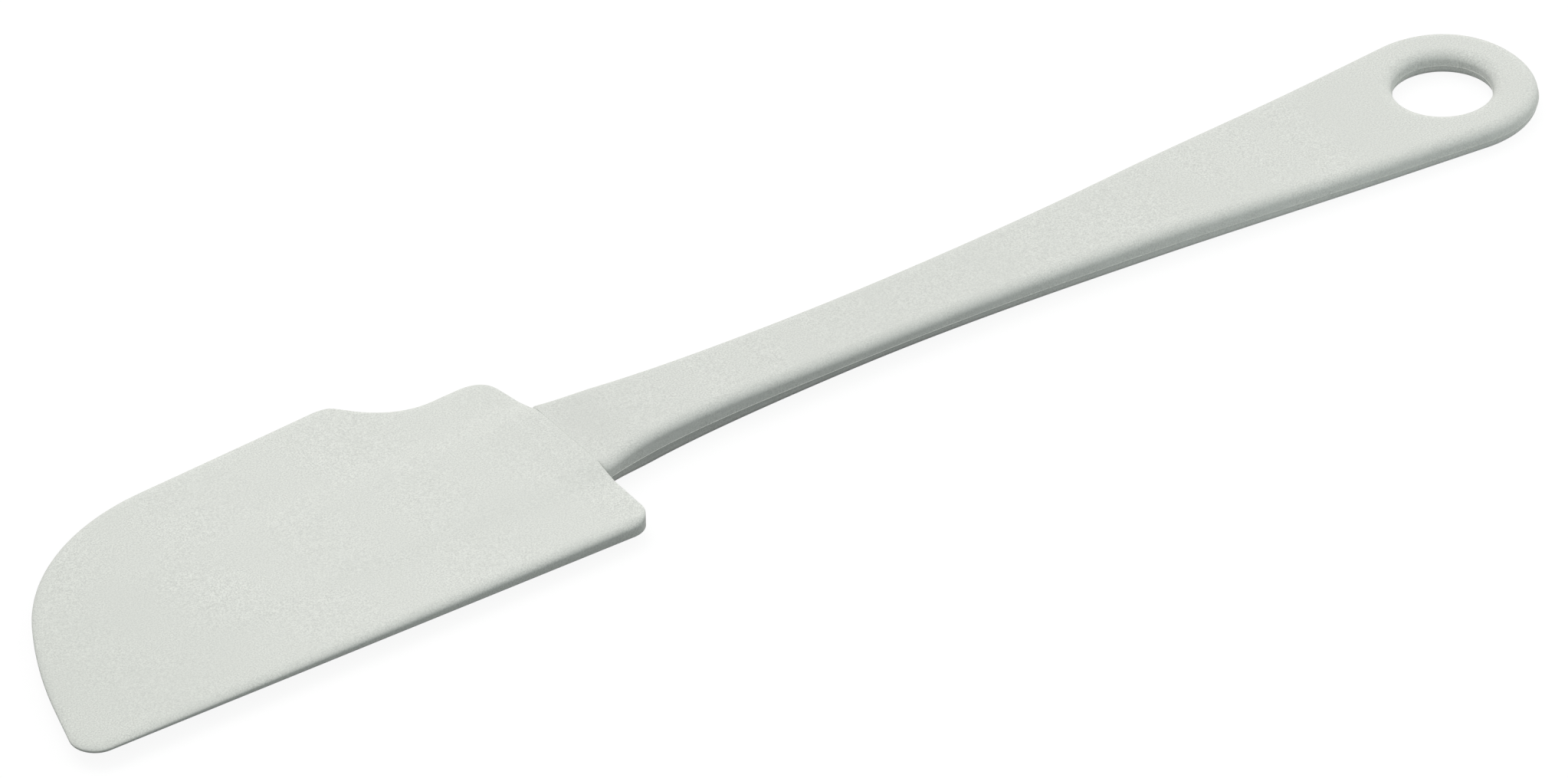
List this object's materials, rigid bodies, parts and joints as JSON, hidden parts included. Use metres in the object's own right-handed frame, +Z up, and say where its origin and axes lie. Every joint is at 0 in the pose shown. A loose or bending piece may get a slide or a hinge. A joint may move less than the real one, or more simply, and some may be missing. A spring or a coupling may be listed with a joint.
{
  "type": "rubber spatula",
  "caption": "Flat soft scraper blade with one straight side and a rounded slanted nose, pushed onto a slim one-piece handle with a round hanging eye.",
  "frame": {"origin": "middle of the footprint's bounding box, on the plane that the spatula lies on", "axes": "+X along the handle, from the blade towards the hanging eye; +Y towards the curved side of the blade; +Z up, square to the blade's faces"},
  "size_m": [0.25, 0.0486, 0.0052],
  "materials": {
    "blade_rubber": "matt, fine grain",
    "handle_plastic": "satin, fine grain"
  },
  "bodies": {
    "handle": {"handle": "handle_plastic"},
    "blade": {"blade": "blade_rubber"}
  },
  "joints": [
    {"name": "blade_pull", "type": "slide", "parent": "handle", "child": "blade", "axis": [-1, 0, 0], "range_m": [0, 0.03]}
  ]
}
